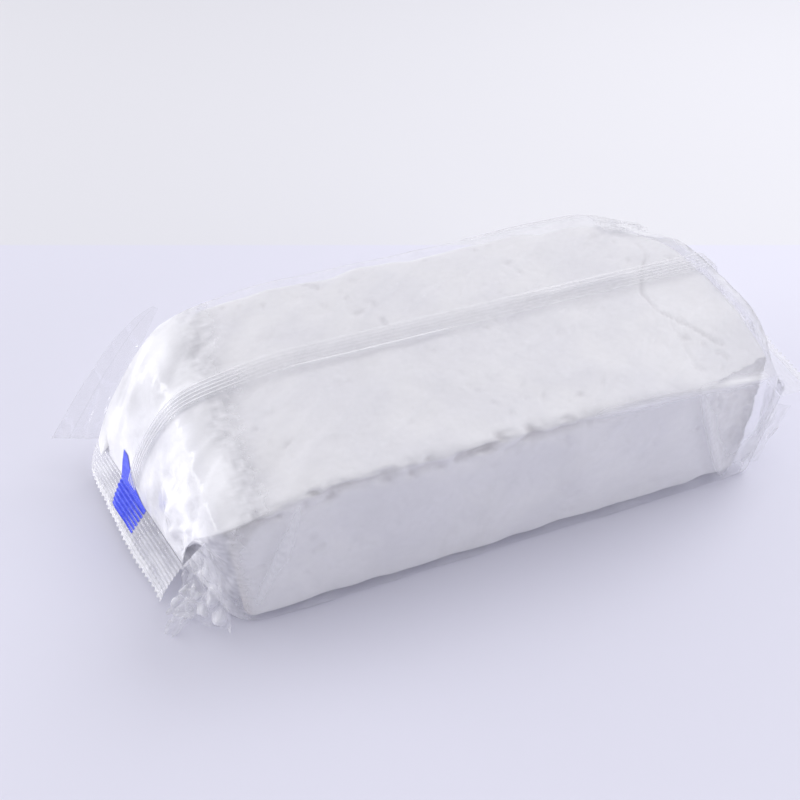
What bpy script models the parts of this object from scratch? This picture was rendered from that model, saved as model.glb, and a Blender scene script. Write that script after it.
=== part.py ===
# Gymnastics chalk block sealed in a clear flow wrap.
# Metres, +Z up, +X along the block. The origin is the centre of the face the pack rests on.

import math
import random

import bmesh
import bpy
from mathutils import Matrix, Vector

# Chalk block
BLOCK_LENGTH = 0.160
BLOCK_WIDTH = 0.080
BLOCK_HEIGHT = 0.050
BLOCK_EDGE = 0.0030  # rounding of the pressed edges
BLOCK_EDGE_STEPS = 2

# Worn places: each is one flat broken face, given by how far it reaches along the block's edges
CORNER_WEAR = (0.014, 0.009, 0.014)  # front left top corner, along X, Y and Z
EDGE_BREAK_TOP = 0.028  # front right edge, along X at the top
EDGE_BREAK_FOOT = 0.009  # along X at the foot
EDGE_BREAK_DEPTH = 0.007  # into the right end face
BACK_WEAR_LENGTH = 0.070  # low back edge, along X from the right end
BACK_WEAR = 0.007  # down and inwards at the right end

# Film
WALL = 0.0003
CLING = 0.0004  # air between the film and the chalk
JOIN_GAP = 0.0004  # air between film pieces that meet end to end
WRAP_CORNER_STEPS = 3

# Fin seal along the top, folded flat towards the front
FIN_WIDTH = 0.008
FIN_THICKNESS = 0.0004
FIN_ROOT_Y = 0.009  # where the two edges of the web meet
FIN_RIBS = 5
FIN_LIFT = 0.0004  # air between the folded fin and the film under it

# End seals, crimped with ribs and cut with teeth
SEAL_WIDTH = 0.013
SEAL_THICKNESS = 0.0004
SEAL_RIBS = 8
RIB_HEIGHT = 0.0002
TOOTH_PITCH = 0.0020
TOOTH_DEPTH = 0.0010
SEAL_MOUTH = 0.0040  # height of the slack film where the seal begins
SEAL_START = 0.0008  # from the root line to the seal's near edge, which leaves it room to bend

# Left end: the seal hangs low and askew
LEFT_REACH_FRONT = 0.012
LEFT_REACH_BACK = 0.029
LEFT_INSET_FRONT = 0.018
LEFT_INSET_BACK = 0.010
LEFT_ROOT_FRONT = 0.0105
LEFT_ROOT_BACK = 0.0135
LEFT_DROOP_FRONT = 36.0  # degrees below level
LEFT_DROOP_BACK = 55.0

# Right end: the seal stands out at half height
RIGHT_REACH = 0.010
RIGHT_INSET = 0.006
RIGHT_DROOP = -8.0

# Slack film between the block and the end seals
TENT_STEPS = 8
TENT_FULLNESS = 1.5  # 1 is a straight slope, more is a fuller shoulder

# Dog ear at the back of the left end
EAR_REACH = 0.014
EAR_INSET = 0.004
EAR_DROP = 0.001
EAR_THICKNESS = 0.0004
EAR_FULLNESS = 0.006
EAR_START = 0.12
EAR_STEPS = 6

# Ink patch on the left seal
PATCH_THICKNESS = 0.0002
PATCH_START = 0.38  # along the seal, from its front end
PATCH_END = 0.66
PATCH_INNER_MARGIN = 0.0012
PATCH_OUTER_MARGIN = 0.0035
PATCH_STEPS = 6

# Loose crumbs: radius, and for each where it lies
CORNER_CRUMB = 0.0010
END_CRUMB = 0.0016
CRUMB_ROUGHNESS = 0.25
CRUMB_GAP = 0.0006

SMOOTH_ANGLE = 30.0
SLOPE_STEP = 0.01  # how far apart a slope along the slack film is measured, as a share of its run

# Derived sizes
FILM_GAP = WALL + CLING
HALF_LENGTH = BLOCK_LENGTH / 2
HALF_WIDTH = BLOCK_WIDTH / 2
BLOCK_FLOOR = FILM_GAP
BLOCK_TOP = BLOCK_FLOOR + BLOCK_HEIGHT
WRAP_HALF_LENGTH = HALF_LENGTH + CLING
WRAP_HALF_WIDTH = HALF_WIDTH + FILM_GAP
WRAP_TOP = BLOCK_TOP + FILM_GAP
WRAP_RADIUS = BLOCK_EDGE + FILM_GAP
TENT_START = WRAP_HALF_LENGTH + JOIN_GAP
FIN_BASE = WRAP_TOP + FIN_LIFT
FIN_EDGE_Y = FIN_ROOT_Y - FIN_WIDTH
PATCH_LIFT = SEAL_THICKNESS / 2 + RIB_HEIGHT + CLING


def clear_scene():
    for obj in list(bpy.data.objects):
        bpy.data.objects.remove(obj, do_unlink=True)


def make_material(name, colour, roughness, alpha=1.0):
    material = bpy.data.materials.new(name)
    material.use_nodes = True
    shader = material.node_tree.nodes["Principled BSDF"]
    shader.inputs["Base Color"].default_value = (*colour, 1.0)
    shader.inputs["Roughness"].default_value = roughness
    shader.inputs["Metallic"].default_value = 0.0
    shader.inputs["Alpha"].default_value = alpha
    material.diffuse_color = (*colour, alpha)
    return material


def add_object(name, bm, material, pivot=(0.0, 0.0, 0.0)):
    """Makes an object of bm, whose points are in world space, with its origin at pivot."""
    bmesh.ops.recalc_face_normals(bm, faces=bm.faces[:])
    bmesh.ops.translate(bm, verts=bm.verts[:], vec=-Vector(pivot))
    mesh = bpy.data.meshes.new(name)
    bm.to_mesh(mesh)
    bm.free()
    mesh.materials.append(material)
    mesh.shade_smooth()
    mesh.set_sharp_from_angle(angle=math.radians(SMOOTH_ANGLE))
    obj = bpy.data.objects.new(name, mesh)
    obj.location = pivot
    bpy.context.scene.collection.objects.link(obj)
    return obj


def add_ring(bm, points):
    return [bm.verts.new(point) for point in points]


def bridge_rings(bm, first, second, inwards=False):
    """Triangles between two rings. Both faces of a thin wall get the same diagonals, so they never cross."""
    count = len(first)
    for i in range(count):
        j = (i + 1) % count
        for corners in ((first[i], first[j], second[j]), (first[i], second[j], second[i])):
            bm.faces.new(reversed(corners) if inwards else corners)


def solid_of_rings(rings):
    """A closed body skinned over rings of points, with flat ends."""
    bm = bmesh.new()
    made = [add_ring(bm, ring) for ring in rings]
    for first, second in zip(made, made[1:]):
        bridge_rings(bm, first, second)
    bm.faces.new(reversed(made[0]))
    bm.faces.new(made[-1])
    return bm


def tube_of_rings(outer_rings, inner_rings):
    """A thin-walled tube, open at both ends."""
    bm = bmesh.new()
    outer = [add_ring(bm, ring) for ring in outer_rings]
    inner = [add_ring(bm, ring) for ring in inner_rings]
    for first, second in zip(outer, outer[1:]):
        bridge_rings(bm, first, second)
    for first, second in zip(inner, inner[1:]):
        bridge_rings(bm, first, second, inwards=True)
    bridge_rings(bm, inner[0], outer[0])
    bridge_rings(bm, outer[-1], inner[-1])
    return bm


def inset_ring(ring, wall):
    """The ring moved inwards by wall within its own upright plane. It runs anticlockwise seen from +X."""
    front = min(ring, key=lambda point: point.y)
    back = max(ring, key=lambda point: point.y)
    skew = (back.x - front.x) / (back.y - front.y)
    moved = []
    count = len(ring)
    for i, point in enumerate(ring):
        before = ring[i - 1]
        after = ring[(i + 1) % count]
        into = Vector((point.y - before.y, point.z - before.z)).normalized()
        out_of = Vector((after.y - point.y, after.z - point.z)).normalized()
        normal_in = Vector((-into.y, into.x))
        normal_out = Vector((-out_of.y, out_of.x))
        mitre = (normal_in + normal_out) / (1 + normal_in.dot(normal_out))
        step_y = wall * mitre.x
        moved.append(point + Vector((skew * step_y, step_y, wall * mitre.y)))
    return moved


# Chalk


def break_off(bm, a, b, c):
    """Cuts the block along the plane through three points and keeps the side with its middle."""
    normal = (b - a).cross(c - a).normalized()
    middle = Vector((0.0, 0.0, BLOCK_FLOOR + BLOCK_HEIGHT / 2))
    if (middle - a).dot(normal) > 0:
        normal.negate()
    geometry = bm.verts[:] + bm.edges[:] + bm.faces[:]
    cut = bmesh.ops.bisect_plane(
        bm, geom=geometry, plane_co=a, plane_no=normal, clear_outer=True
    )
    rim = [item for item in cut["geom_cut"] if isinstance(item, bmesh.types.BMEdge)]
    bmesh.ops.holes_fill(bm, edges=rim)


def make_chalk_block(material):
    bm = bmesh.new()
    size = Matrix.Diagonal((BLOCK_LENGTH, BLOCK_WIDTH, BLOCK_HEIGHT, 1.0))
    bmesh.ops.create_cube(bm, size=1.0, matrix=size)
    bmesh.ops.translate(bm, verts=bm.verts[:], vec=(0, 0, BLOCK_FLOOR + BLOCK_HEIGHT / 2))
    bmesh.ops.bevel(
        bm,
        geom=bm.edges[:],
        offset=BLOCK_EDGE,
        segments=BLOCK_EDGE_STEPS,
        profile=0.5,
        affect="EDGES",
    )
    corner = Vector((-HALF_LENGTH, -HALF_WIDTH, BLOCK_TOP))
    wear_x, wear_y, wear_z = CORNER_WEAR
    break_off(
        bm,
        corner + Vector((wear_x, 0, 0)),
        corner + Vector((0, wear_y, 0)),
        corner - Vector((0, 0, wear_z)),
    )
    break_off(
        bm,
        Vector((HALF_LENGTH - EDGE_BREAK_TOP, -HALF_WIDTH, BLOCK_TOP)),
        Vector((HALF_LENGTH - EDGE_BREAK_FOOT, -HALF_WIDTH, BLOCK_FLOOR)),
        Vector((HALF_LENGTH, -HALF_WIDTH + EDGE_BREAK_DEPTH, BLOCK_FLOOR + BLOCK_HEIGHT / 2)),
    )
    break_off(
        bm,
        Vector((HALF_LENGTH - BACK_WEAR_LENGTH, HALF_WIDTH, BLOCK_TOP)),
        Vector((HALF_LENGTH, HALF_WIDTH, BLOCK_TOP - BACK_WEAR)),
        Vector((HALF_LENGTH, HALF_WIDTH - BACK_WEAR, BLOCK_TOP)),
    )
    return add_object("chalk_block", bm, material)


def make_crumb(name, centre, radius, seed, material):
    rng = random.Random(seed)
    bm = bmesh.new()
    bmesh.ops.create_icosphere(bm, subdivisions=1, radius=radius)
    for vert in bm.verts:
        vert.co *= 1 - CRUMB_ROUGHNESS * rng.random()
    bmesh.ops.translate(bm, verts=bm.verts[:], vec=centre)
    return add_object(name, bm, material)


# Film round the block


def wrap_ring(x):
    """The wrap's outer section: a rectangle with rounded corners, anticlockwise seen from +X."""
    corners = (
        (WRAP_HALF_WIDTH - WRAP_RADIUS, WRAP_RADIUS, -90.0),
        (WRAP_HALF_WIDTH - WRAP_RADIUS, WRAP_TOP - WRAP_RADIUS, 0.0),
        (-WRAP_HALF_WIDTH + WRAP_RADIUS, WRAP_TOP - WRAP_RADIUS, 90.0),
        (-WRAP_HALF_WIDTH + WRAP_RADIUS, WRAP_RADIUS, 180.0),
    )
    ring = []
    for y, z, start in corners:
        for step in range(WRAP_CORNER_STEPS + 1):
            angle = math.radians(start + 90.0 * step / WRAP_CORNER_STEPS)
            place = (x, y + WRAP_RADIUS * math.cos(angle), z + WRAP_RADIUS * math.sin(angle))
            ring.append(Vector(place))
    return ring


def make_film_wrap(material):
    outer = [wrap_ring(-WRAP_HALF_LENGTH), wrap_ring(WRAP_HALF_LENGTH)]
    inner = [inset_ring(ring, WALL) for ring in outer]
    return add_object("film_wrap", tube_of_rings(outer, inner), material)


# Ends of the pack


class PackEnd:
    """One end of the pack: the line where its seal begins, and how the seal hangs from it."""

    def __init__(self, side, front, back, droop_front, droop_back):
        self.side = side
        self.front = front
        self.back = back
        self.droop_front = droop_front
        self.droop_back = droop_back
        along = back - front
        self.along = along.normalized()
        self.outward = Vector((along.y, -along.x, 0.0)).normalized() * side

    def root(self, s):
        return self.front.lerp(self.back, s)

    def seal_axes(self, s):
        """Unit vectors down the seal's face and out of it, at share s along its root line."""
        droop = math.radians(self.droop_front + (self.droop_back - self.droop_front) * s * s)
        up = Vector((0.0, 0.0, 1.0))
        down_face = self.outward * math.cos(droop) - up * math.sin(droop)
        off_face = self.outward * math.sin(droop) + up * math.cos(droop)
        return down_face, off_face

    def tent_corner(self, t, y_side, top):
        """A corner of the slack film's section: t is 0 at the block and 1 at the seal."""
        root = self.back if y_side > 0 else self.front
        mouth = SEAL_MOUTH / 2 if top else -SEAL_MOUTH / 2
        start_z = WRAP_TOP if top else 0.0
        fall = t**TENT_FULLNESS
        return Vector(
            (
                self.side * TENT_START + (root.x - self.side * TENT_START) * t,
                y_side * WRAP_HALF_WIDTH + (root.y - y_side * WRAP_HALF_WIDTH) * t,
                start_z + (root.z + mouth - start_z) * fall,
            )
        )

    def top_point(self, t, y):
        """A point of the slack film's top, at the given y."""
        back = self.tent_corner(t, 1, True)
        front = self.tent_corner(t, -1, True)
        return back.lerp(front, (back.y - y) / (back.y - front.y))

    def floor_point(self, t, share):
        """A point of the slack film's bottom, at a share of the way from front to back."""
        return self.tent_corner(t, -1, False).lerp(self.tent_corner(t, 1, False), share)

    def tent_ring(self, t):
        return [
            self.tent_corner(t, -1, False),
            self.tent_corner(t, 1, False),
            self.tent_corner(t, 1, True),
            self.top_point(t, FIN_ROOT_Y),
            self.top_point(t, FIN_EDGE_Y),
            self.tent_corner(t, -1, True),
        ]


def left_pack_end():
    front = Vector(
        (-HALF_LENGTH - LEFT_REACH_FRONT, -HALF_WIDTH + LEFT_INSET_FRONT, LEFT_ROOT_FRONT)
    )
    back = Vector((-HALF_LENGTH - LEFT_REACH_BACK, HALF_WIDTH - LEFT_INSET_BACK, LEFT_ROOT_BACK))
    return PackEnd(-1, front, back, LEFT_DROOP_FRONT, LEFT_DROOP_BACK)


def right_pack_end():
    reach = HALF_LENGTH + RIGHT_REACH
    inset = HALF_WIDTH - RIGHT_INSET
    middle = WRAP_TOP / 2
    front = Vector((reach, -inset, middle))
    back = Vector((reach, inset, middle))
    return PackEnd(1, front, back, RIGHT_DROOP, RIGHT_DROOP)


def make_tent(name, end, material):
    outer = [end.tent_ring(step / TENT_STEPS) for step in range(TENT_STEPS + 1)]
    inner = [inset_ring(ring, WALL) for ring in outer]
    return add_object(name, tube_of_rings(outer, inner), material)


def seal_ring(end, s, tooth):
    """The seal's section at share s along its root line: ribs above, flat below."""
    root = end.root(s)
    down_face, off_face = end.seal_axes(s)
    start = SEAL_START
    stop = SEAL_WIDTH + tooth
    half = SEAL_THICKNESS / 2
    ring = [root + down_face * stop - off_face * half, root + down_face * start - off_face * half]
    for i in range(2 * SEAL_RIBS + 1):
        reach = start + (stop - start) * i / (2 * SEAL_RIBS)
        height = half + RIB_HEIGHT * (i % 2)
        ring.append(root + down_face * reach + off_face * height)
    return ring


def make_seal(name, end, material):
    length = (end.back - end.front).length
    first = JOIN_GAP / length
    teeth = round(length / TOOTH_PITCH)
    rings = []
    for i in range(2 * teeth + 1):
        s = first + (1 - 2 * first) * i / (2 * teeth)
        rings.append(seal_ring(end, s, TOOTH_DEPTH * (i % 2)))
    return add_object(name, solid_of_rings(rings), material, pivot=end.root(0.5))


def make_patch(end, material):
    rings = []
    for i in range(PATCH_STEPS + 1):
        s = PATCH_START + (PATCH_END - PATCH_START) * i / PATCH_STEPS
        down_face, off_face = end.seal_axes(s)
        near = end.root(s) + down_face * PATCH_INNER_MARGIN + off_face * PATCH_LIFT
        far = end.root(s) + down_face * (SEAL_WIDTH - PATCH_OUTER_MARGIN) + off_face * PATCH_LIFT
        thick = off_face * PATCH_THICKNESS
        rings.append([far, near, near + thick, far + thick])
    return add_object("print_patch", solid_of_rings(rings), material, pivot=end.root(0.5))


def make_ear(end, material):
    """The dog ear: a flat flap hinged on the line from the block's top corner to the seal."""
    top = end.tent_corner(0.0, 1, True)
    foot = end.back
    tip = Vector((foot.x - EAR_REACH, HALF_WIDTH - EAR_INSET, foot.z - EAR_DROP))
    hinge = (foot - top).normalized()
    across = (tip - top) - hinge * (tip - top).dot(hinge)
    across.normalize()
    off_face = hinge.cross(across)
    rings = []
    for i in range(EAR_STEPS + 1):
        u = EAR_START + (1 - EAR_START) * i / EAR_STEPS
        near = top.lerp(foot, u) + across * JOIN_GAP
        far = top.lerp(tip, u) + across * (JOIN_GAP + EAR_FULLNESS * math.sin(math.pi * u))
        half = off_face * (EAR_THICKNESS / 2)
        rings.append([near - half, far - half, far + half, near + half])
    return add_object("left_back_ear", solid_of_rings(rings), material, pivot=top.lerp(foot, 0.5))


# Fin seal


def make_fin(material):
    section = [(FIN_ROOT_Y, FIN_BASE), (FIN_EDGE_Y, FIN_BASE)]
    for i in range(2 * FIN_RIBS + 1):
        y = FIN_EDGE_Y + FIN_WIDTH * i / (2 * FIN_RIBS)
        section.append((y, FIN_BASE + FIN_THICKNESS + RIB_HEIGHT * (i % 2)))
    rings = []
    for x in (-WRAP_HALF_LENGTH, WRAP_HALF_LENGTH):
        rings.append([Vector((x, y, z)) for y, z in section])
    pivot = (0.0, FIN_ROOT_Y, FIN_BASE + FIN_THICKNESS / 2)
    return add_object("fin_seal", solid_of_rings(rings), material, pivot=pivot)


def make_fin_tail(name, end, material):
    """The fin's run down over the slack film, a little way off its face."""
    steps = range(TENT_STEPS + 1)
    rings = []
    for step in steps:
        t = min(max(step / TENT_STEPS, 0.02), 0.95)
        ring = []
        for y, lifts in (
            (FIN_ROOT_Y, (FIN_LIFT, FIN_LIFT + FIN_THICKNESS)),
            (FIN_EDGE_Y, (FIN_LIFT + FIN_THICKNESS, FIN_LIFT)),
        ):
            slope = end.top_point(t + SLOPE_STEP, y) - end.top_point(t - SLOPE_STEP, y)
            off_face = Vector((-slope.z * end.side, 0.0, abs(slope.x))).normalized()
            for lift in lifts:
                ring.append(end.top_point(t, y) + off_face * lift)
        rings.append(ring)
    return add_object(name, solid_of_rings(rings), material)


def make_crumbs(left, right, material):
    corner = Vector((-HALF_LENGTH, -HALF_WIDTH, BLOCK_TOP))
    wear = Vector(CORNER_WEAR)
    near = Vector((wear.x * 0.22, wear.y * 0.26, -wear.z * 0.24))
    low = Vector((wear.x * 0.10, wear.y * 0.20, -wear.z * 0.50))
    make_crumb("chalk_crumb_1", corner + near, CORNER_CRUMB, 3, material)
    make_crumb("chalk_crumb_2", corner + low, CORNER_CRUMB, 5, material)
    places = (("chalk_crumb_3", left, 0.45, 0.45, 7), ("chalk_crumb_4", right, 0.40, 0.30, 11))
    for name, end, t, share, seed in places:
        floor = end.floor_point(t, share)
        slope = end.floor_point(t + SLOPE_STEP, share) - end.floor_point(t - SLOPE_STEP, share)
        off_face = Vector((-slope.z * end.side, 0.0, abs(slope.x))).normalized()
        centre = floor + off_face * (WALL + CRUMB_GAP + END_CRUMB)
        make_crumb(name, centre, END_CRUMB, seed, material)


def main():
    clear_scene()
    chalk = make_material("chalk", (0.87, 0.86, 0.88), 0.95)
    film = make_material("clear_film", (0.92, 0.93, 0.97), 0.08, alpha=0.25)
    sealed = make_material("sealed_film", (0.95, 0.95, 0.98), 0.15, alpha=0.45)
    ink = make_material("blue_ink", (0.03, 0.07, 0.80), 0.25)
    left = left_pack_end()
    right = right_pack_end()
    make_chalk_block(chalk)
    make_film_wrap(film)
    make_tent("left_end_tent", left, film)
    make_tent("right_end_tent", right, film)
    make_fin(sealed)
    make_fin_tail("left_fin_tail", left, sealed)
    make_fin_tail("right_fin_tail", right, sealed)
    make_seal("left_end_seal", left, sealed)
    make_seal("right_end_seal", right, sealed)
    make_ear(left, film)
    make_patch(left, ink)
    make_crumbs(left, right, chalk)


main()
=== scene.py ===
import math

import bmesh
import bpy
import numpy as np
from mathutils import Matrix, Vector, noise


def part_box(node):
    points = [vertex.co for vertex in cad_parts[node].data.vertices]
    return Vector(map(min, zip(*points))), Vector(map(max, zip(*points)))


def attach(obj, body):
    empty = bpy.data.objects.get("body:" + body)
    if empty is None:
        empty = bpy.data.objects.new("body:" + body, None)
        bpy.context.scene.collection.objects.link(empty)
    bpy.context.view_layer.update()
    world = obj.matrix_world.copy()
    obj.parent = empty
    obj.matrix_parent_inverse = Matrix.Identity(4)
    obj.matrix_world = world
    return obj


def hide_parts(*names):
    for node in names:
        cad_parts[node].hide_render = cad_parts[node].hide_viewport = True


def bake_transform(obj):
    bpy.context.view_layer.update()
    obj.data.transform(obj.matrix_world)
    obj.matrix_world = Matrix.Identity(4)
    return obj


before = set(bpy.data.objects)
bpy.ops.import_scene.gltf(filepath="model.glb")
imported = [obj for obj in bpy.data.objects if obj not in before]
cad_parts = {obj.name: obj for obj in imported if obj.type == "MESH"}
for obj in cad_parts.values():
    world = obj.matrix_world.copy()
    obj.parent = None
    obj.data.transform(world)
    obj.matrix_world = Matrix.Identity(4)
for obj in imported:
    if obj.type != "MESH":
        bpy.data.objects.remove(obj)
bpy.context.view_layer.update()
mm = 0.001  # every length below is in millimetres


def boxOf(node):
    low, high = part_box(node)
    return np.array(low) / mm, np.array(high) / mm


wrapLow, wrapHigh = boxOf("film_wrap")
packMiddle = (wrapLow + wrapHigh) / 2


def smoothStep(low, high, value):
    t = np.clip((value - low) / (high - low), 0, 1)
    return t * t * (3 - 2 * t)


def unit(vectors):
    return vectors / np.maximum(np.linalg.norm(vectors, axis=-1, keepdims=True), 1e-9)


def noiseAt(points, size, seed=0):  # -1 to 1, in lumps about this size, which is one number or three
    shift = np.array((seed * 17.3, seed * 5.1, seed * 9.7)) + 100
    scaled = points.reshape(-1, 3) / np.array(size) + shift
    return np.array([noise.noise(p) for p in scaled.tolist()]).reshape(points.shape[:-1])


def sharpFolds(points, size, seed=0):  # 0 in the flats and 1 along thin winding crests
    return np.clip(1 - 2.6 * np.abs(noiseAt(points, size, seed)), 0, 1) ** 2


def facetsAt(points, size, seed=0):  # flat facets with sharp valleys, as in crumpled film
    shift = np.array((seed * 17.3, seed * 5.1, seed * 9.7)) + 100
    scaled = points.reshape(-1, 3) / np.array(size) + shift
    near = [noise.voronoi(p)[0] for p in scaled.tolist()]
    return np.array([pair[1] - 0.8 * pair[0] for pair in near]).reshape(points.shape[:-1]) - 0.5


def gridNormals(grid, closed=False):
    if closed:
        across = np.roll(grid, -1, axis=1) - np.roll(grid, 1, axis=1)
    else:
        across = np.gradient(grid, axis=1)
    return unit(np.cross(np.gradient(grid, axis=0), across))


def blur(grid, times, axis, closed=False):
    for _ in range(times):
        before = np.roll(grid, 1, axis=axis)
        after = np.roll(grid, -1, axis=axis)
        soft = 0.25 * before + 0.5 * grid + 0.25 * after
        if not closed:
            ends = [slice(None)] * grid.ndim
            for end in (0, -1):
                ends[axis] = end
                soft[tuple(ends)] = grid[tuple(ends)]
        grid = soft
    return grid


def sampleGrid(grid, rows, cols):  # the grid's points at fractional rows and columns
    rows = np.clip(rows, 0, grid.shape[0] - 1.001)
    cols = np.clip(cols, 0, grid.shape[1] - 1.001)
    r, c = rows.astype(int), cols.astype(int)
    fr, fc = (rows - r)[..., None], (cols - c)[..., None]
    top = grid[r, c] * (1 - fc) + grid[r, c + 1] * fc
    low = grid[r + 1, c] * (1 - fc) + grid[r + 1, c + 1] * fc
    return top * (1 - fr) + low * fr


def addMesh(name, points, faces, finish, marks=None):
    mesh = bpy.data.meshes.new(name)
    mesh.from_pydata((np.asarray(points).reshape(-1, 3) * mm).tolist(), [], faces)
    mesh.materials.append(finish)
    mesh.shade_smooth()
    for mark, values in (marks or {}).items():
        layer = mesh.attributes.new(mark, "FLOAT", "POINT")
        layer.data.foreach_set("value", np.asarray(values, np.float32).ravel())
    piece = bpy.data.objects.new(name, mesh)
    bpy.context.scene.collection.objects.link(piece)
    return piece


def addSheet(name, grid, finish, closed=False, marks=None):
    rows, cols = grid.shape[:2]
    r = np.arange(rows - 1)[:, None]
    c = np.arange(cols if closed else cols - 1)[None, :]
    after = (c + 1) % cols
    corners = [r * cols + c, r * cols + after, (r + 1) * cols + after, (r + 1) * cols + c]
    outwards = ((grid - packMiddle) * gridNormals(grid, closed)).sum()
    if outwards > 0:
        corners.reverse()
    faces = np.stack([x + 0 * c for x in corners], axis=-1).reshape(-1, 4).tolist()
    return addMesh(name, grid, faces, finish, marks)


def bodyPiece(piece, body, nodes=()):
    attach(piece, body)
    if nodes:
        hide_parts(*nodes)
    return piece


class Wire:  # one output of a node, which can be used in a sum
    def __init__(self, recipe, socket):
        self.recipe, self.socket = recipe, socket

    def maths(self, operation, first, second):
        return self.recipe.node("Math", {"operation": operation}, {0: first, 1: second})

    def __add__(self, other):
        return self.maths("ADD", self, other)

    def __radd__(self, other):
        return self.maths("ADD", other, self)

    def __sub__(self, other):
        return self.maths("SUBTRACT", self, other)

    def __rsub__(self, other):
        return self.maths("SUBTRACT", other, self)

    def __mul__(self, other):
        return self.maths("MULTIPLY", self, other)

    def __rmul__(self, other):
        return self.maths("MULTIPLY", other, self)

    def __pow__(self, other):
        return self.maths("POWER", self, other)


class Recipe:  # a material under construction
    def __init__(self, name, tree=None):
        if tree is None:
            self.material = bpy.data.materials.new(name)
            self.material.use_nodes = True
            tree = self.material.node_tree
        self.tree = tree
        self.tree.nodes.clear()

    def node(self, kind, settings=None, sockets=None, out=0):
        made = self.tree.nodes.new("ShaderNode" + kind)
        for key, value in (settings or {}).items():
            if key == "stops":
                ramp = made.color_ramp.elements
                while len(ramp) < len(value):
                    ramp.new(1.0)
                for element, (place, colour) in zip(ramp, value):
                    element.position = place
                    element.color = (*colour, 1.0)
            else:
                setattr(made, key, value)
        for key, value in (sockets or {}).items():
            if isinstance(value, Wire):
                self.tree.links.new(value.socket, made.inputs[key])
            else:
                made.inputs[key].default_value = value
        return Wire(self, made.outputs[out]) if made.outputs else made

    def coords(self, stretch=(1.0, 1.0, 1.0), turn=(0.0, 0.0, 0.0)):
        place = self.node("TexCoord", out="Object")
        return self.node("Mapping", {}, {"Vector": place, "Scale": stretch, "Rotation": turn})

    def grain(self, where, scale, detail=2.0, roughness=0.5, distortion=0.0):
        sockets = {
            "Vector": where,
            "Scale": scale,
            "Detail": detail,
            "Roughness": roughness,
            "Distortion": distortion,
        }
        return self.node("TexNoise", {}, sockets, out="Fac")

    def between(self, value, low, high):  # 0 below low, 1 above high
        sockets = {"Value": value, "From Min": low, "From Max": high}
        return self.node("MapRange", {"interpolation_type": "SMOOTHSTEP"}, sockets)

    def tint(self, share, first, second):
        pair = {"Factor": share, 6: first, 7: second}
        return self.node("Mix", {"data_type": "RGBA"}, pair, out=2)

    def bump(self, height, strength, distance, over=None):
        sockets = {"Height": height, "Strength": strength, "Distance": distance}
        if over:
            sockets["Normal"] = over
        return self.node("Bump", {}, sockets)

    def mark(self, name):
        return self.node("Attribute", {"attribute_name": name}, out="Fac")

    def blendShaders(self, share, first, second):
        return self.node("MixShader", {}, {0: share, 1: first, 2: second})

    def finish(self, shader):
        self.node("OutputMaterial", {}, {"Surface": shader})
        return self.material


chalkLook = {
    "white": (0.820, 0.815, 0.838, 1.0),
    "cool": (0.780, 0.775, 0.810, 1.0),
    # the next grey is painted shade for the chalk's breaks, bites, cracks and pits
    "broken": (0.560, 0.540, 0.560, 1.0),
    "cream": (0.720, 0.670, 0.620, 1.0),
}


def makeChalkFinish():
    recipe = Recipe("chalkPowder")
    place = recipe.coords()
    broad = recipe.grain(place, 45.0, detail=3.0)
    blotch = recipe.grain(place, 130.0, detail=2.0, roughness=0.5)
    powder = recipe.grain(place, 1900.0, detail=3.0, roughness=0.7)
    worn = recipe.mark("worn")
    cream = recipe.mark("cream")
    tone = recipe.tint(recipe.between(broad, 0.35, 0.65), chalkLook["white"], chalkLook["cool"])
    mottle = recipe.between(blotch, 0.55, 0.72) * 0.35
    tone = recipe.tint(mottle, tone, chalkLook["cool"])
    # painted shade darkens the chalk's hollows, breaks, cracks and pits
    tone = recipe.tint(worn * 0.75, tone, chalkLook["broken"])
    tone = recipe.tint(cream, tone, chalkLook["cream"])
    rough = recipe.bump(powder, 0.02, 0.0003)
    lumps = recipe.bump(blotch, 0.5, 0.0013, rough)
    shader = recipe.node(
        "BsdfPrincipled",
        {},
        {"Base Color": tone, "Roughness": 0.95, "Normal": lumps, "Specular IOR Level": 0.2},
    )
    return recipe.finish(shader)


filmLooks = {
    "clearFilm": {
        "haze": 0.035,  # least share of whitish film
        "shine": 2.0,
        "gloss": 0.09,
        "wrinkle": 0.30,
        "milk": (0.86, 0.86, 0.90, 1.0),
        "shade": (0.7998, 0.7998, 0.837, 1.0),
    },
    "sealedFilm": {
        "haze": 0.085,
        "shine": 2.6,
        "gloss": 0.13,
        "wrinkle": 0.18,
        "milk": (0.93, 0.93, 0.97, 1.0),
        "shade": (0.8649, 0.8649, 0.9021, 1.0),
    },
}


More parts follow.
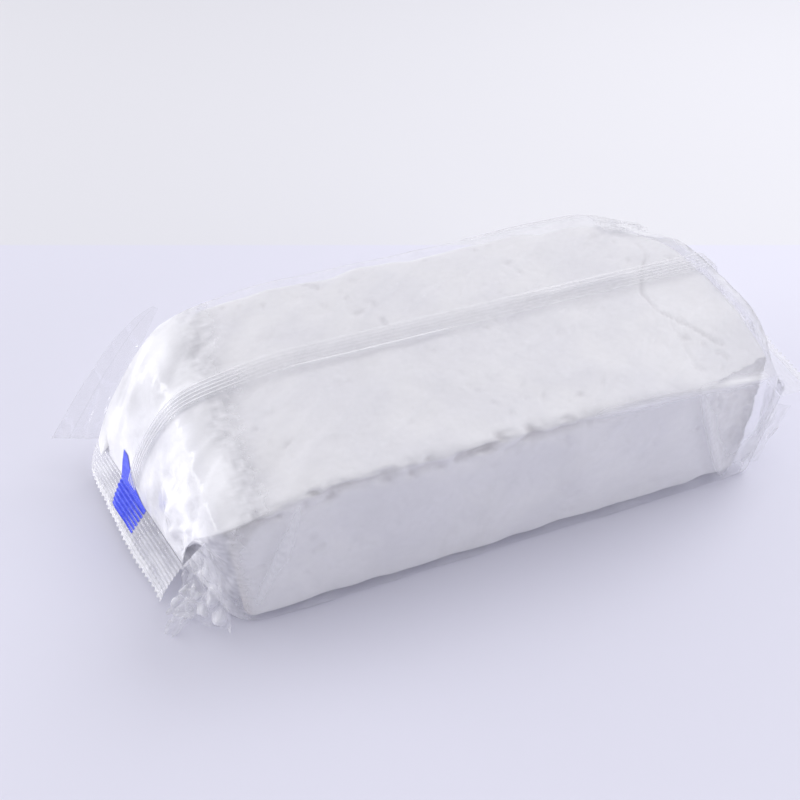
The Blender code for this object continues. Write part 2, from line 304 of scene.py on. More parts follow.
def makeFilmFinish(name):
    recipe, look = Recipe(name), filmLooks[name]
    haze, wrinkle = look["haze"], look["wrinkle"]
    place = recipe.coords(stretch=(1.0, 1.6, 1.6), turn=(0.0, 0.0, 0.6))
    soft = recipe.grain(place, 70.0, detail=2.0, distortion=0.6)
    fine = recipe.grain(place, 380.0, detail=3.0, roughness=0.6, distortion=0.4)
    slack = recipe.mark("slack")
    loose = slack * 0.9 + 0.1
    normal = recipe.bump(soft * loose, wrinkle, 0.004)
    normal = recipe.bump(fine * loose, wrinkle * 0.8, 0.0006, normal)
    facing = recipe.node("LayerWeight", {}, {"Blend": 0.5, "Normal": normal}, out="Facing")
    glint = facing**5.0 * 0.9 + 0.045  # share mirrored by one face of the film
    mirror = recipe.node(
        "BsdfPrincipled",
        {},
        {"Base Color": (1, 1, 1, 1), "Metallic": 1.0, "Roughness": look["gloss"], "Normal": normal},
    )
    blotch = recipe.grain(recipe.coords(), 110.0, detail=3.0, roughness=0.6)
    milk = recipe.node(
        "BsdfPrincipled",
        {},
        {
            "Base Color": recipe.tint(recipe.between(blotch, 0.4, 0.7), look["milk"], look["shade"]),
            "Roughness": 0.6,
            "Normal": normal,
        },
    )
    clear = recipe.node("BsdfTransparent", {}, {"Color": (0.995, 0.995, 1.0, 1.0)})
    cloud = recipe.between(fine, 0.3, 0.8) * (haze * 0.8) + haze * 0.6
    # this mark is chalk dust on the film, and also painted highlights along creases, cut edges, fold crests and fin
    # lines
    dust = recipe.mark("dust")
    body = recipe.blendShaders(cloud + slack * haze + dust, clear, milk)
    glint = glint * (1.0 - dust * 0.92) * look["shine"]  # dusty film hardly shines
    return recipe.finish(recipe.blendShaders(glint, body, mirror))


inkLook = {"blue": (0.030, 0.060, 0.800, 1.0), "pale": (0.085, 0.13, 0.88, 1.0)}


def makeInkFinish():
    recipe = Recipe("blueInk")
    place = recipe.coords()
    uneven = recipe.grain(place, 900.0, detail=3.0)
    cover = recipe.mark("cover")
    tone = recipe.tint(recipe.between(uneven, 0.4, 0.75), inkLook["blue"], inkLook["pale"])
    ink = recipe.node(
        "BsdfPrincipled",
        {},
        {"Base Color": tone, "Roughness": 0.28, "Coat Weight": 0.4, "Coat Roughness": 0.1},
    )
    clear = recipe.node("BsdfTransparent", {}, {"Color": (1, 1, 1, 1)})
    return recipe.finish(recipe.blendShaders(cover, clear, ink))


floorLook = {
    "near": (0.745, 0.742, 0.845, 1.0),
    "far": (0.755, 0.755, 0.795, 1.0),
    "patchy": (0.65, 0.65, 0.75, 1.0),
    "seam": 110.0,  # from the block's middle to where the paper turns up behind it
    "heading": 19.6,
    "size": 3.0,
}


def makeFloorFinish():
    recipe = Recipe("studioPaper")
    turned = recipe.node(
        "Mapping",
        {"vector_type": "POINT"},
        {
            "Vector": recipe.node("TexCoord", out="Object"),
            "Rotation": (0.0, 0.0, math.radians(floorLook["heading"])),
        },
    )
    along = recipe.node("SeparateXYZ", {}, {0: turned}, out="Y")
    seam = floorLook["seam"] * mm
    beyond = recipe.between(along, seam - 0.0006, seam + 0.0006)
    fibre = recipe.grain(recipe.node("TexCoord", out="Object"), 900.0, detail=2.0)
    patchy = recipe.grain(recipe.node("TexCoord", out="Object"), 3.0, detail=2.0)
    tone = recipe.tint(beyond, floorLook["near"], floorLook["far"])
    tone = recipe.tint(patchy * 0.05, tone, floorLook["patchy"])
    shader = recipe.node(
        "BsdfPrincipled",
        {},
        {
            "Base Color": tone,
            "Roughness": 0.7,
            "Specular IOR Level": 0.25,
            "Normal": recipe.bump(fibre, 0.05, 0.0002),
        },
    )
    return recipe.finish(shader)


chalkPowder = makeChalkFinish()
clearFilm = makeFilmFinish("clearFilm")
sealedFilm = makeFilmFinish("sealedFilm")
blueInk = makeInkFinish()
print("materials made")


wearShape = {  # what is worn off the top, for the chalk and for the film that lies on it
    "right": 6.0,  # at the front right corner
    "left": 4.5,  # along the left end
    "leftFront": 3.0,  # and this much more at its front
    "pulls": [  # where the film sinks onto worn corners: place, move, reach
        ((84.0, 40.0, 50.0), (-3.0, -3.5, -7.5), 17.0),
        ((83.0, -40.0, 46.0), (-3.5, 1.5, -1.5), 11.0),
    ],
}


def wornDown(points):  # how much lower the worn top is at each point
    x, y, z = points[..., 0], points[..., 1], points[..., 2]
    nearFront = 1 - smoothStep(-42, -14, y)
    right = wearShape["right"] * smoothStep(26, 84, x) * nearFront
    left = wearShape["left"] * smoothStep(-50, -86, x)
    left = left + wearShape["leftFront"] * smoothStep(-52, -86, x) * nearFront
    return (right + left) * smoothStep(20, 50, z)


def pulled(points, pull, strength=1.0):  # moves what lies within the pull's reach
    place, move, reach = pull
    away = np.linalg.norm(points - np.array(place), axis=-1)
    return points + strength * np.exp(-((away / reach) ** 2))[..., None] * np.array(move)


chalkShape = {
    "cell": 0.8,
    "edge": 3.4,  # rounding of the pressed edges
    "cornerWear": (14.0, 9.0, 14.0),
    "breakTop": 28.0,
    "breakFoot": 9.0,
    "breakDepth": 8.0,
    "backWearLength": 70.0,
    "backWear": 7.0,
    "leftRound": 15.0,  # how far the soft left end is worn round
    "rightRound": 4.0,
    "crumble": 2.4,  # deepest bite out of the front top edge
    "crumbleEnd": 20.0,
    "undulation": 1.3,
    "cracks": [  # line on the top, depth, width
        (
            [(67.5, 22.8), (67.4, 16.1), (60.7, 7.8), (55.1, -1.4), (54.9, -9.1), (59.1, -16.6), (67.2, -26.7)],
            0.55,
            0.42,
        ),
        ([(56.3, -14.3), (55.3, -26.0), (54.5, -32.1)], 0.2, 0.45),
    ],
    "pits": [  # place on the top and reach
        (-70.8, 23.3, 1.6),
        (-55.1, 16.8, 2.4),
        (-76.0, -0.8, 1.8),
        (-75.0, -8.2, 1.8),
        (-74.0, -16.1, 2.2),
        (-61.5, -10.4, 2.0),
        (-13.4, -3.6, 1.5),
        (15.5, 13.7, 1.5),
        (24.2, -8.3, 1.8),
        (-40.2, -6.5, 2.0),
        (-27.6, -26.2, 1.6),
        (-48.6, -25.8, 1.8),
    ],
}
slantTurn = np.array(((0.80, -0.60, 0), (0.60, 0.80, 0), (0, 0, 1)))  # dents and folds run at a slant


def boxShell(low, high, cell):  # a box of small squares, corners shared
    counts = [max(2, round((high[i] - low[i]) / cell)) for i in range(3)]
    points, index, faces = [], {}, []

    def corner(key):
        if key not in index:
            index[key] = len(points)
            points.append([low[i] + (high[i] - low[i]) * key[i] / counts[i] for i in range(3)])
        return index[key]

    for axis in range(3):
        u, v = (axis + 1) % 3, (axis + 2) % 3
        for side in (0, counts[axis]):
            for i in range(counts[u]):
                for j in range(counts[v]):
                    ring = []
                    for di, dj in ((0, 0), (1, 0), (1, 1), (0, 1)):
                        key = [0, 0, 0]
                        key[axis], key[u], key[v] = side, i + di, j + dj
                        ring.append(corner(tuple(key)))
                    faces.append(ring if side else ring[::-1])
    return np.array(points), faces


def lineDistance(points, line):  # distance in plan from a polyline
    best = np.full(len(points), 1e9)
    for (ax, ay), (bx, by) in zip(line, line[1:]):
        a, d = np.array((ax, ay)), np.array((bx - ax, by - ay))
        t = np.clip((points - a) @ d / (d @ d), 0, 1)
        best = np.minimum(best, np.linalg.norm(points - a - t[:, None] * d, axis=1))
    return best


def breakPlane(points, a, b, c, middle, rough):  # pushes what lies beyond the plane back onto it
    a, b, c = np.array(a), np.array(b), np.array(c)
    normal = np.cross(b - a, c - a)
    normal = normal / np.linalg.norm(normal)
    if (middle - a) @ normal > 0:
        normal = -normal
    beyond = (points - a) @ normal + rough
    cut = np.maximum(beyond, 0)
    return points - cut[:, None] * normal, smoothStep(0.0, 1.0, cut)


def makeChalkBlock():
    low, high = boxOf("chalk_block")
    middle = (low + high) / 2
    shape = chalkShape
    points, faces = boxShell(low, high, shape["cell"])
    lumps = noiseAt(points, 9.0, 1)
    crumbs = noiseAt(points, 2.6, 2)
    grit = noiseAt(points, 1.3, 3)
    edge = (shape["edge"] * (1 + 0.35 * lumps))[:, None]
    inner = np.clip(points, low + edge, high - edge)
    points = inner + edge * unit(points - inner) * (np.linalg.norm(points - inner, axis=1) > 1e-6)[:, None]
    inward = unit(middle - inner + (inner - points) * 30)
    rough = 0.55 * crumbs + 0.3 * grit + 0.5 * lumps
    x, y, z = high[0], low[1], high[2]
    wx, wy, wz = shape["cornerWear"]
    # this mark is painted shade: it darkens the break faces, the bites and the ledge under the front lip, the cracks
    # and the pits
    worn = np.zeros(len(points))
    planes = (
        ((low[0] + wx, y, z), (low[0], y + wy, z), (low[0], y, z - wz)),
        (
            (x - shape["breakTop"], y, z),
            (x - shape["breakFoot"], y, low[2]),
            (x, y + shape["breakDepth"], z),
        ),
        (
            (x - shape["backWearLength"], high[1], z),
            (x, high[1], z - shape["backWear"]),
            (x, high[1] - shape["backWear"], z),
        ),
    )
    for a, b, c in planes:
        points, cut = breakPlane(points, a, b, c, middle, rough)
        worn = np.maximum(worn, 0.5 * cut * (0.7 + 0.5 * crumbs))
    for end, radius, sign in ((low[0], shape["leftRound"], -1), (x, shape["rightRound"], 1)):
        radius = radius * (1 + 0.25 * lumps)
        hubX, hubZ = end - sign * radius, z - radius
        dx, dz = (points[:, 0] - hubX) * sign, points[:, 2] - hubZ
        out = (dx > 0) & (dz > 0)
        share = np.where(out, np.minimum(radius / np.maximum(np.hypot(dx, dz), 1e-6), 1), 1)
        points[:, 0] = np.where(out, hubX + sign * dx * share, points[:, 0])
        points[:, 2] = np.where(out, hubZ + dz * share, points[:, 2])
    # bites out of the front top edge
    fromEdge = np.hypot(points[:, 1] - y, (points[:, 2] - z + 1.8) * 0.8)
    bite = smoothStep(-0.25, 0.75, noiseAt(points, (5.0, 9.0, 3.2), 4) + 0.35 * crumbs)
    bite = bite * (1 - smoothStep(1.2, 5.4, fromEdge))
    reach = 1 - smoothStep(shape["crumbleEnd"] - 14, shape["crumbleEnd"], points[:, 0])
    bite = bite * reach * (0.55 + 0.45 * smoothStep(-0.3, 0.3, noiseAt(points, 14.0, 5)))
    points = points + (shape["crumble"] * bite)[:, None] * np.array((0.0, 0.75, -0.6))
    worn = np.maximum(worn, 0.95 * smoothStep(0.15, 0.6, bite))
    # long ledge under the lip of that edge
    underLip = points[:, 2] - (z - 3.6 - 1.3 * noiseAt(points, (16.0, 90.0, 90.0), 6))
    onFront = 1 - smoothStep(0.5, 3.5, points[:, 1] - y)
    ledge = np.exp(-((underLip / 1.1) ** 2)) * onFront * (1 - smoothStep(10, 34, points[:, 0]))
    ledge = ledge * smoothStep(-0.45, 0.2, noiseAt(points, 11.0, 7))
    points[:, 1] += 1.3 * ledge
    worn = np.maximum(worn, 0.75 * ledge)
    # crack across the top near the right end, and its branch
    onTop = points[:, 2] > z - 9
    for line, depth, width in shape["cracks"]:
        away = lineDistance(points[:, :2] + 0.5 * np.stack([crumbs, grit], axis=1), line)
        groove = np.exp(-((away / width) ** 2)) * onTop
        points[:, 2] -= depth * groove
        worn = np.maximum(worn, depth * groove)
    # ragged pits in loose groups, and soft dents
    groups = smoothStep(0.05, 0.45, noiseAt(points, 21.0, 9))
    holes = smoothStep(0.30, 0.62, noiseAt(points, 3.4, 10) + 0.25 * grit) * groups
    points += (0.55 * holes)[:, None] * inward
    worn = np.maximum(worn, 0.30 * holes)
    for px, py, r in shape["pits"]:
        away = np.linalg.norm((points - (px, py, z)) * (0.75, 1.3, 1), axis=1) * (1 + 0.9 * crumbs)
        dent = np.clip(1 - (away / r) ** 2, 0, 1) ** 1.2 * smoothStep(-0.5, 0.3, grit)
        points += (0.35 * dent)[:, None] * inward
        worn = np.maximum(worn, 0.22 * dent)
    points[:, 2] -= wornDown(points)
    soft = 0.5 + 0.5 * noiseAt(points, 27.0, 8) + 0.25 * noiseAt(points, 11.0, 16)
    soft = soft + 0.45 * noiseAt(points @ slantTurn, (20.0, 6.5, 20.0), 19)  # slanting dents
    points += (shape["undulation"] * soft + 0.10 * (0.5 + 0.5 * crumbs))[:, None] * inward
    points = np.clip(pulled(points, wearShape["pulls"][0], 1.1), low, high)
    # a cream tint along the front edge of the left end, below the top
    cream = np.exp(-(((points[:, 0] - low[0] - 0.5) / 2.0) ** 2))
    cream = cream * np.exp(-(((points[:, 1] - y - 1) / 3.5) ** 2))
    cream = cream * (points[:, 2] < z - 8) * 0.55
    piece = addMesh("chalkBlock", points, faces, chalkPowder, {"worn": worn, "cream": cream})
    return bodyPiece(piece, "pack", ["chalk_block"])


def makeCrumb(name, node, seed):
    low, high = boxOf(node)
    bm = bmesh.new()
    bmesh.ops.create_icosphere(bm, subdivisions=4, radius=1.0)
    ball = np.array([vert.co for vert in bm.verts])
    faces = [[vert.index for vert in face.verts] for face in bm.faces]
    bm.free()
    chipped = 1 - 0.25 * sharpFolds(ball, 1.3, seed) + 0.16 * noiseAt(ball, 0.5, seed + 1)
    points = ball * chipped[:, None]
    middle = (low + high) / 2
    points = points / np.abs(points).max(axis=0) * (high - low) / 2 + middle
    points[:, 2] -= wornDown(middle)
    # a little painted shade over the whole crumb
    marks = {"worn": np.full(len(points), 0.15), "cream": np.zeros(len(points))}
    piece = addMesh(name, points, faces, chalkPowder, marks)
    return bodyPiece(piece, "pack", [node])


makeChalkBlock()
for number in range(1, 5):
    makeCrumb(f"chalkCrumb{number}", f"chalk_crumb_{number}", 20 + number)
print("chalk made")


webShape = {
    "bottom": 64,  # squares round the girth on each side
    "back": 50,
    "top": 100,
    "front": 60,
    "station": 1.0,
    "leftSteps": 46,
    "rightSteps": 30,
    "fullness": 1.5,
    "mouth": 0.8,
    "tuck": 0.3,
    "corner": 5,  # how much the film's corners are rounded
    "leftRound": 110,  # how softly the film turns down over the left end
    "pleat": 0.9,
    "wrinkle": 0.22,
    "creases": [  # from, to, height, width, whiteness, which is a painted highlight along the crease
        ((18.0, -40.6, 50.6), (50.0, -40.6, 48.4), 0.35, 1.1, 1.0),
        ((48.0, -40.6, 48.6), (79.0, -40.2, 45.2), 0.35, 1.1, 1.0),
        ((50.0, -40.9, 48.5), (71.0, -40.9, 3.0), 0.7, 1.7, 0.75),
        ((-63.0, -40.9, 43.0), (-78.0, -40.9, 3.0), 0.45, 1.6, 0.6),
        ((-60.0, -40.9, 50.0), (-70.0, -40.9, 20.0), 0.3, 1.8, 0.5),
        ((-84.0, -28.0, 50.0), (-93.0, -12.0, 22.0), 0.9, 1.2, 0.9),
        ((-86.0, -36.0, 44.0), (-91.0, -22.0, 14.0), 0.9, 1.0, 0.9),
        ((-88.0, -18.0, 42.0), (-84.0, -33.0, 46.0), 0.8, 1.0, 0.8),
        ((-92.0, -8.0, 30.0), (-88.0, -26.0, 33.0), 0.8, 1.1, 0.9),
        ((-86.0, -30.0, 36.0), (-93.0, -15.0, 18.0), 0.9, 0.9, 0.8),
        ((-82.0, -40.0, 24.0), (-91.5, -24.0, 11.0), 1.0, 1.1, 0.9),
        ((-81.0, -40.0, 38.0), (-89.0, -30.0, 18.0), 1.0, 1.2, 0.9),
        ((-82.0, 36.0, 50.0), (-104.0, 20.0, 20.0), 0.5, 1.6, 0.5),
        ((12.0, 40.5, 51.3), (64.0, 40.5, 51.3), 0.5, 0.8, 0.8),
    ],
    "dustFrom": -62.0,  # the film's inside is dusted with chalk from here to the left end
    "dustTo": -80.0,
    "dustSpots": [  # place, reach, how thick, only on the top
        ((74.0, -34.0, 47.0), 19.0, 0.15, True),
        ((79.0, -40.0, 14.0), 9.0, 0.45, False),
    ],
}
# the roots of the end seals, where the slack film meets the crimp
leftLow, leftHigh = boxOf("left_end_tent")
rightLow, rightHigh = boxOf("right_end_tent")
rootHeight = (rightLow[2] + rightHigh[2]) / 2
leftRoot = {
    "front": (leftLow[0] + 17.0, leftLow[1] + 18.7, leftLow[2] + 10.5),
    "back": (leftLow[0], leftHigh[1] - 10.7, leftLow[2] + 13.5),
}
rightRoot = {
    "front": (rightHigh[0], rightLow[1] + 6.7, rootHeight),
    "back": (rightHigh[0], rightHigh[1] - 6.7, rootHeight),
}


def sideLine(a, b, count):
    t = (np.arange(count) / count)[:, None]
    return np.asarray(a) * (1 - t) + np.asarray(b) * t


def ringAt(root, t, x):  # the film's girth at a share t of the way from the block to the seal
    shape = webShape
    fall = t ** shape["fullness"]
    corners = {}
    for where, y in (("front", wrapLow[1]), ("back", wrapHigh[1])):
        end = np.array(root[where])
        for level, z, mouth in (("top", wrapHigh[2], 0.5), ("foot", wrapLow[2], -0.5)):
            start = np.array((x, y, z))
            corner = start + (end - start) * t
            corner[2] = z + (end[2] + mouth * shape["mouth"] - z) * fall
            corners[where, level] = corner
    tall = (corners["back", "top"][2] - corners["back", "foot"][2]) / 2
    half = (wrapHigh[2] - wrapLow[2]) / 2
    depth = shape["tuck"] * math.sqrt(max(half**2 - tall**2, 0.0))
    ring = []
    order = (
        ("bottom", ("front", "foot"), ("back", "foot"), 0),
        ("back", ("back", "foot"), ("back", "top"), -1),
        ("top", ("back", "top"), ("front", "top"), 0),
        ("front", ("front", "top"), ("front", "foot"), 1),
    )
    for name, a, b, tuck in order:
        line = sideLine(corners[a], corners[b], shape[name])
        if tuck:
            share = np.arange(shape[name]) / shape[name]
            line[:, 1] += tuck * depth * (1 - np.abs(2 * share - 1))
        ring.append(line)
    return np.concatenate(ring)


def makeWebGrid():
    shape = webShape
    rings = []
    for step in range(shape["leftSteps"], 0, -1):
        t = step / shape["leftSteps"]
        rings.append(ringAt(leftRoot, t, wrapLow[0] - 0.4))
    for x in np.arange(wrapLow[0] - 0.4, wrapHigh[0] + 0.4, shape["station"]):
        rings.append(ringAt(leftRoot, 0.0, x))
    for step in range(shape["rightSteps"] + 1):
        t = step / shape["rightSteps"]
        rings.append(ringAt(rightRoot, t, wrapHigh[0] + 0.4))
    grid = np.stack(rings)
    crisp = blur(grid, 1, 1, closed=True)
    soft = blur(grid, shape["corner"], 1, closed=True)
    taut = (smoothStep(16, 34, grid[..., 0]) * (1 - smoothStep(72, 80, grid[..., 0])))[..., None]
    grid = soft * (1 - taut) + crisp * taut
    rounded = blur(grid, shape["leftRound"], 0)
    atLeft = np.exp(-(((grid[..., 0] - wrapLow[0]) / 16) ** 2))[..., None]
    grid = blur(grid, 5, 0) * (1 - atLeft) + rounded * atLeft
    grid[..., 2] -= wornDown(grid)
    for pull in wearShape["pulls"]:
        grid = pulled(grid, pull)
    return grid


def wrinkleWeb(grid):
    shape = webShape
    rows, cols = grid.shape[:2]
    normals = gridNormals(grid, closed=True)
    if ((grid - packMiddle) * normals).sum() < 0:
        normals = -normals
    left = np.clip((shape["leftSteps"] - np.arange(rows)) / shape["leftSteps"], 0, 1)
    lastWrap = rows - 1 - shape["rightSteps"]
    right = np.clip((np.arange(rows) - lastWrap) / shape["rightSteps"], 0, 1)
    t = np.maximum(left, right)[:, None] * np.ones((1, cols))
    girth = np.arange(cols)[None, :] * np.ones((rows, 1))
    slack = smoothStep(0.0, 0.35, t)
    pinned = 1 - smoothStep(0.86, 1.0, t)
    # pleats run from the block to the seal
    where = np.stack([girth * 0.9, t * 22, 40 * (left[:, None] > 0) + 0 * t], axis=-1)
    pleats = noiseAt(where, (7.0, 26.0, 10.0), 11) + 0.25 * noiseAt(where, (2.6, 16.0, 10.0), 12)
    facets = np.zeros((rows, cols))
    for part in (slice(0, shape["leftSteps"]), slice(lastWrap, rows)):
        facets[part] = 2.0 * facetsAt(grid[part], (13.0, 13.0, 17.0), 13) + 0.22 * facetsAt(grid[part], 5.0, 18)
    underFin = np.abs(grid[..., 1] - 5.0) < 6.5
    underFin = underFin & (girth > shape["bottom"] + shape["back"]) & (girth < cols - shape["front"])
    calm = 1 - 0.8 * underFin
    bottom = girth < shape["bottom"]
    front = 1 - smoothStep(-26, 12, grid[..., 1])
    busy = 0.15 + 1.2 * front * (left[:, None] > 0) + 0.6 * (right[:, None] > 0)
    bend = (shape["pleat"] * pleats + 0.9 * facets) * slack * pinned * calm * busy
    # faint drawn lines in the film over the block, then its clear creases
    drawn = sharpFolds(grid @ slantTurn, (34.0, 8.0, 30.0), 14) + 0.6 * noiseAt(grid, (18.0, 9.0, 9.0), 15)
    bend += shape["wrinkle"] * drawn * (1 - slack) * calm
    crests = np.zeros((rows, cols))
    for a, b, height, width, whiteness in shape["creases"]:
        a, b = np.array(a), np.array(b)
        along = np.clip(((grid - a) @ (b - a)) / ((b - a) @ (b - a)), 0, 1)
        away = np.linalg.norm(grid - a - along[..., None] * (b - a), axis=-1)
        crest = np.exp(-away / width) * np.sin(np.pi * np.clip(along, 0.02, 0.98)) ** 0.35
        crests = np.maximum(crests, whiteness * crest)
        bend += height * crest
    flatter = np.minimum(bend * (1 - smoothStep(0.0, 0.3, 1 - slack)), 0.5)
    bend = np.where(bottom, flatter, bend)
    grid = grid + bend[..., None] * normals
    grid[..., 2] = np.maximum(grid[..., 2], 0.05)
    # chalk dust on the film's inside, and painted highlights along its creases and drawn lines
    patches = 0.85 + 0.35 * noiseAt(grid, 12.0, 17)
    lowFront = front * smoothStep(0.15, 0.9, left)[:, None]
    onFront = girth >= cols - shape["front"]
    ragged = grid[..., 0] + 10 * onFront + 5 * noiseAt(grid, 13.0, 23)
    dust = smoothStep(shape["dustFrom"], shape["dustTo"], ragged)
    dust = dust + 1.4 * dust * (1 - dust) * noiseAt(grid, 1.7, 24)  # powdery where it thins out
    dust = dust * (0.94 - 0.15 * lowFront)
    pastEnd = np.maximum(grid[..., 0] - wrapHigh[0], 0)
    dust = dust + 0.5 * np.exp(-((pastEnd / 5) ** 2)) * smoothStep(76, 80, grid[..., 0])
    onTop = (girth >= shape["bottom"] + shape["back"]) & (girth < cols - shape["front"] + 1)
    for place, reach, amount, topOnly in shape["dustSpots"]:
        away = np.linalg.norm(grid - np.array(place), axis=-1)
        spot = amount * np.exp(-((away / reach) ** 2))
        dust = np.maximum(dust, spot * onTop if topOnly else spot)
    # the crests and drawn lines add painted highlights, whiter film along the folds
    dust = dust * patches + crests + 0.13 * np.clip(drawn, 0, 1)
    dust = np.clip(dust * ~bottom, 0, 0.95)
    loose = slack * (0.25 + 0.75 * np.where(left[:, None] > 0, front, 1))
    return grid, normals, loose, dust


webGrid, webNormals, webSlack, webDustAndSheen = wrinkleWeb(makeWebGrid())
webGridNormals = gridNormals(webGrid, closed=True)
webGridNormals *= np.sign((webGridNormals * webNormals).sum())
topStart = webShape["bottom"] + webShape["back"]
webMarks = {"slack": webSlack, "dust": webDustAndSheen}
filmWeb = addSheet("filmWeb", webGrid, clearFilm, closed=True, marks=webMarks)
bodyPiece(filmWeb, "pack", ["film_wrap", "left_end_tent", "right_end_tent"])
print("film web made", webGrid.shape)


def overWeb(rows, cols, lift):  # points that stand off the film by the lift
    outwards = unit(sampleGrid(webGridNormals, rows, cols))
    return sampleGrid(webGrid, rows, cols) + np.asarray(lift)[..., None] * outwards


finShape = {
    "root": 9.0,  # where the two edges of the web meet
    "width": 8.0,
    "ribs": 5,
    "ribHeight": 0.24,
    "lift": 0.5,
    "turn": 22.0,  # length of the fin's end pieces between the fin seal and the film that stays
    "across": 56,
    "glints": [  # painted highlight lines: place across the fin, from, to
        (0.10, 14.0, 58.0),
        (0.30, 22.0, 62.0),
        (0.92, -56.0, 0.0),
    ],
}


def topColumn(y):  # the web's column at that y, on the flat top
    return topStart + webShape["top"] * (wrapHigh[1] - y) / (wrapHigh[1] - wrapLow[1])


def finRib(v):
    return 0.5 - 0.5 * np.cos(2 * math.pi * finShape["ribs"] * np.clip((v - 0.08) / 0.84, 0, 1))


def finGrid(firstRow, lastRow, step):
    shape = finShape
    rows = np.arange(firstRow, lastRow + step / 2, step)
    v = np.linspace(0, 1, shape["across"])
    rootColumn, edgeColumn = topColumn(shape["root"]), topColumn(shape["root"] - shape["width"])
    r = rows[:, None] + 0 * v[None, :]
    c = (rootColumn + (edgeColumn - rootColumn) * v)[None, :] + 0 * r
    rib = finRib(v)
    edge = 0.35 * smoothStep(0.9, 1.0, v)
    lift = shape["lift"] + shape["ribHeight"] * 2 * rib[None, :] + edge[None, :] + 0 * r
    points = overWeb(r, c, lift)
    wave = 0.18 * noiseAt(points, (16.0, 5.0, 16.0), 31) * smoothStep(0.2, 1.0, v)[None, :]
    points += (wave + 0.1)[..., None] * unit(sampleGrid(webGridNormals, r, c))
    return points


firstWrap = webShape["leftSteps"]
lastWrap = webGrid.shape[0] - 1 - webShape["rightSteps"]
turnRows = finShape["turn"] / webShape["station"]
finRows = {
    "leftFinTail": (2.0, firstWrap),
    "finLeftTurn": (firstWrap, firstWrap + turnRows),
    "finSeal": (firstWrap + turnRows, lastWrap - turnRows),
    "finRightTurn": (lastWrap - turnRows, lastWrap),
    "rightFinTail": (lastWrap, webGrid.shape[0] - 2.0),
}
finBodies = {
    "leftFinTail": ("pack", "left_fin_tail"),
    "finSeal": ("fin", "fin_seal"),
    "rightFinTail": ("pack", "right_fin_tail"),
}


def finPaintedGlints(grid):  # painted highlights: whiter ribs, most at the ends, and bright lines along the fin
    v = np.linspace(0, 1, finShape["across"])
    x = grid[..., 0]
    dust = (finRib(v) ** 2)[None, :] * (0.04 + 0.8 * smoothStep(-58, -78, x) + 0.3 * smoothStep(48, 62, x))
    for at, first, last in finShape["glints"]:
        line = np.exp(-(((v - at) / 0.03) ** 2))[None, :]
        dust = dust + 0.95 * line * smoothStep(first, first + 8, x) * smoothStep(last, last - 8, x)
    return np.clip(dust, 0, 0.9)


for name, (start, stop) in finRows.items():
    grid = finGrid(start, stop, 0.5)
    marks = {"slack": np.zeros(grid.shape[:2]), "dust": finPaintedGlints(grid)}
    piece = addSheet(name, grid, sealedFilm, marks=marks)
    if name in finBodies:
        body, node = finBodies[name]
        bodyPiece(piece, body, [node])
    else:  # these two lie between the film that stays and the fin that is lifted
        near, far = (grid[0, 0], grid[-1, 0]) if name == "finLeftTurn" else (grid[-1, 0], grid[0, 0])
        far = (far[0], near[1], near[2])
        tuple(near * mm)
        tuple(mm * part for part in far)
        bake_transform(piece)
print("fin made")


sealShape = {
    "width": 13.0,
    "ribs": 9,
    "ribHeight": 0.20,
    "tooth": 1.9,  # pitch of the cut edge's teeth
    "toothDepth": 0.8,
    "grip": 3.0,  # a point this far down from the seal's root is worked out in bend, and nothing uses it
    "left": {"side": -1, "droop": (36.0, 55.0), "curl": 10.0, "dust": 0.55, "seed": 41},  # droop at front and back
    "right": {"side": 1, "droop": (-8.0, -8.0), "curl": 14.0, "dust": 0.15, "seed": 44},
}


def sealRib(q):
    return np.sin(2 * math.pi * q / sealShape["width"] * sealShape["ribs"])


